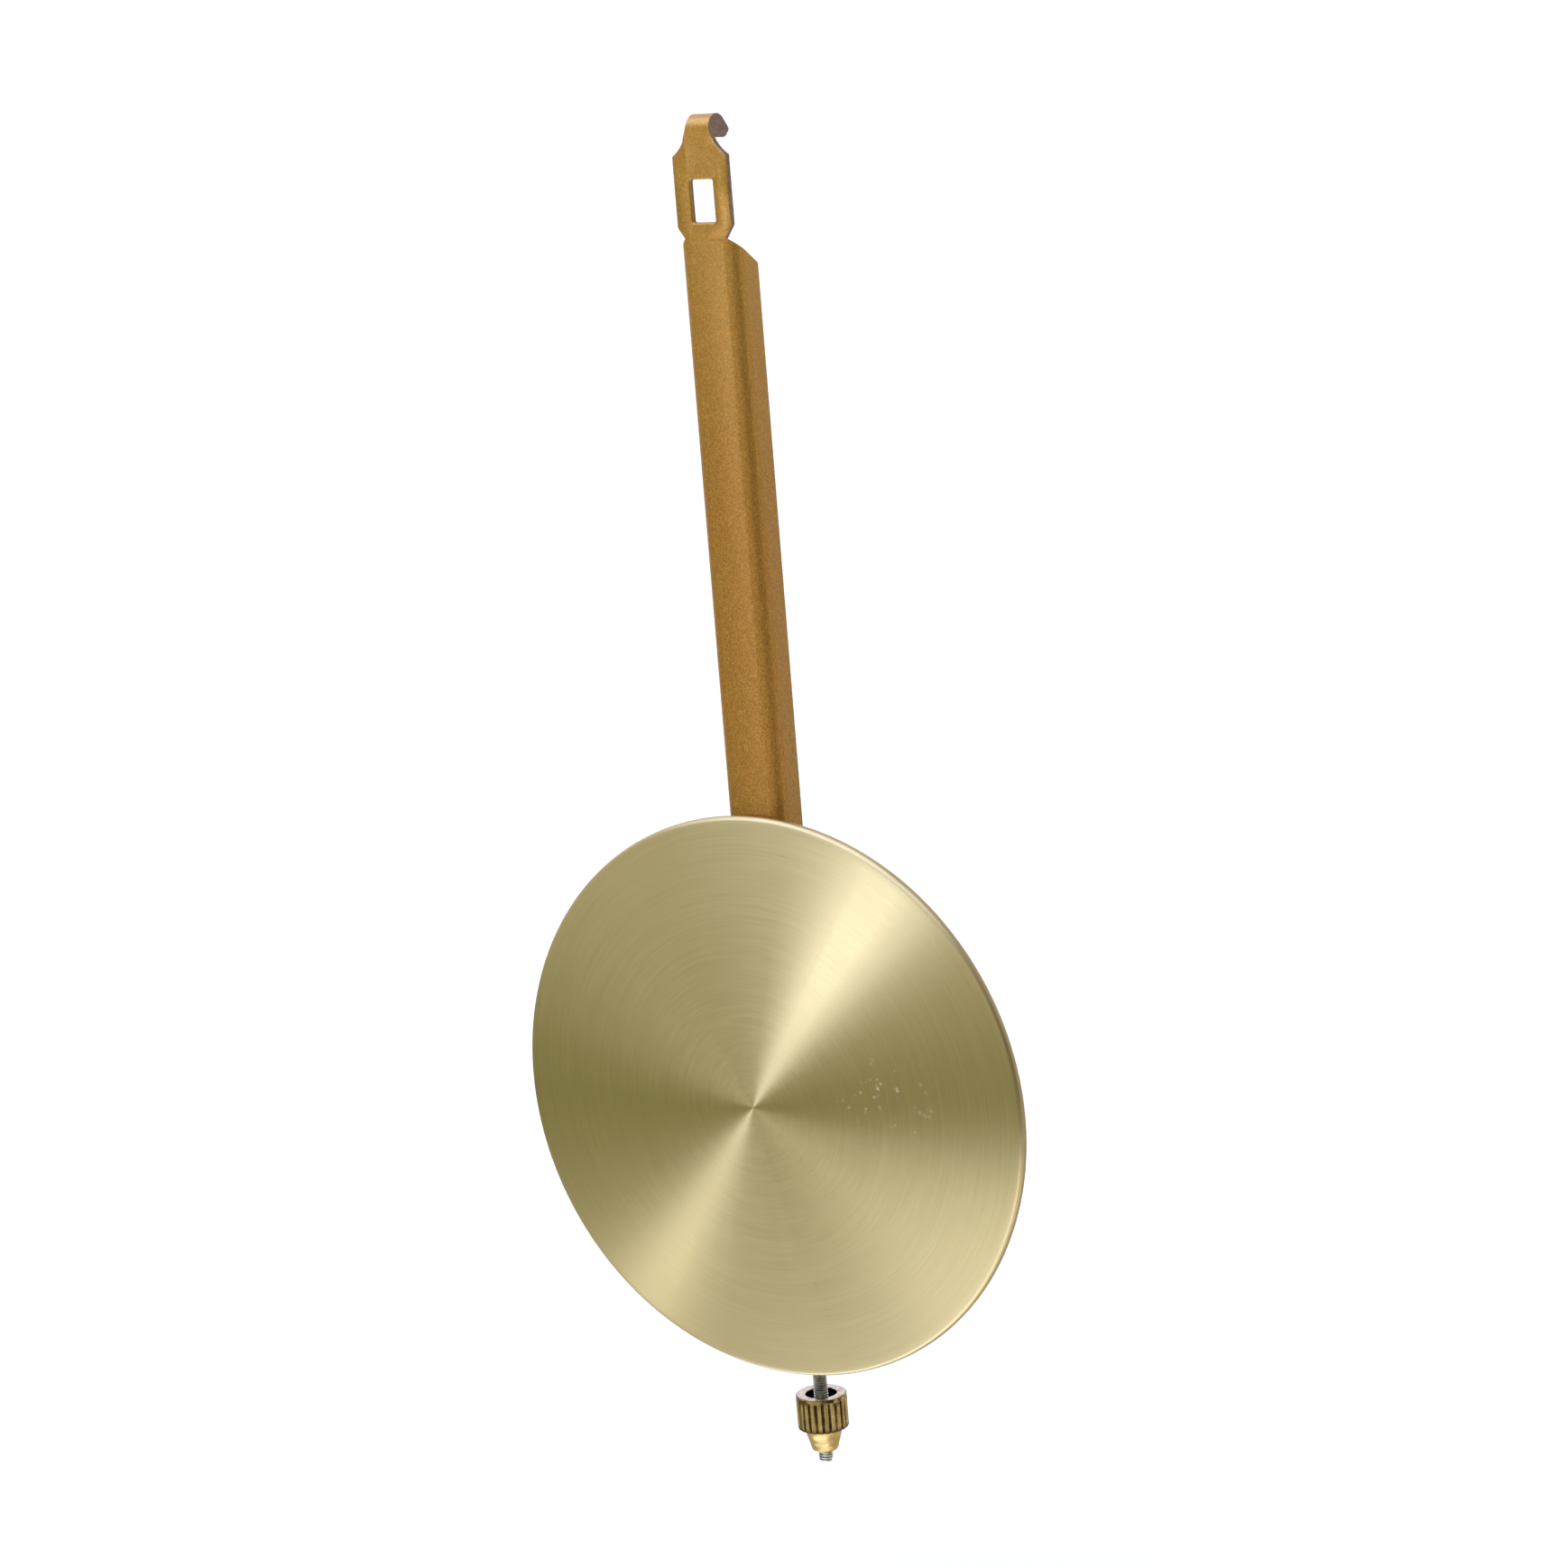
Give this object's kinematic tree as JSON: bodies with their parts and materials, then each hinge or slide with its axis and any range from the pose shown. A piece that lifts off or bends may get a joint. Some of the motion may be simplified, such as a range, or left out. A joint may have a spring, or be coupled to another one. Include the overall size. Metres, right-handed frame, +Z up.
{
  "type": "clock pendulum",
  "caption": "Clock pendulum with a folded sheet stick, hook and window tab, a shallow brass disc bob and a knurled rating nut on a threaded rod.",
  "frame": {"origin": "axis of the hook's seat, in the middle of the hook strip's width", "axes": "+Z up the stick, -Y forward to the bob's face, +X to the right of a viewer facing the bob"},
  "size_m": [0.1, 0.019, 0.2373],
  "materials": {
    "stick_paint": "satin bronze-gold paint with a fine metallic grain",
    "zinc_steel": "dull zinc plate on rolled thread",
    "bob_brass": "circular brushed, pale",
    "cast_iron": "as cast",
    "plate_steel": "zinc plated, dull",
    "strap_steel": "zinc plated, satin",
    "rivet_steel": "zinc plated",
    "spring_steel": "blued spring steel",
    "bush_brass": "turned",
    "nut_brass": "turned and knurled, aged in the grooves"
  },
  "bodies": {
    "stick": {"pendulum_stick": "stick_paint", "threaded_rod": "zinc_steel"},
    "bob": {"bob_face": "bob_brass", "bob_weight": "cast_iron", "bob_backplate": "plate_steel", "upper_guide": "strap_steel", "lower_guide": "strap_steel", "guide_rivets": "rivet_steel", "guide_spring": "spring_steel", "spring_rivet": "rivet_steel", "foot_bracket": "strap_steel", "foot_rivets": "rivet_steel", "rod_bush": "bush_brass"},
    "nut": {"rating_nut": "nut_brass"}
  },
  "joints": [
    {"name": "bob_slide", "type": "slide", "parent": "stick", "child": "bob", "axis": [0, 0, 1], "range_m": [-0.002, 0.008]},
    {"name": "nut_spin", "type": "hinge", "parent": "bob", "child": "nut", "pos_m": [0, 0.0039, -0.2268], "axis": [0, 0, 1], "range_deg": [-1600, 6400]}
  ],
  "couplings": [
    {"joint": "nut_spin", "follows": "bob_slide", "rad_per_m": 13963}
  ]
}
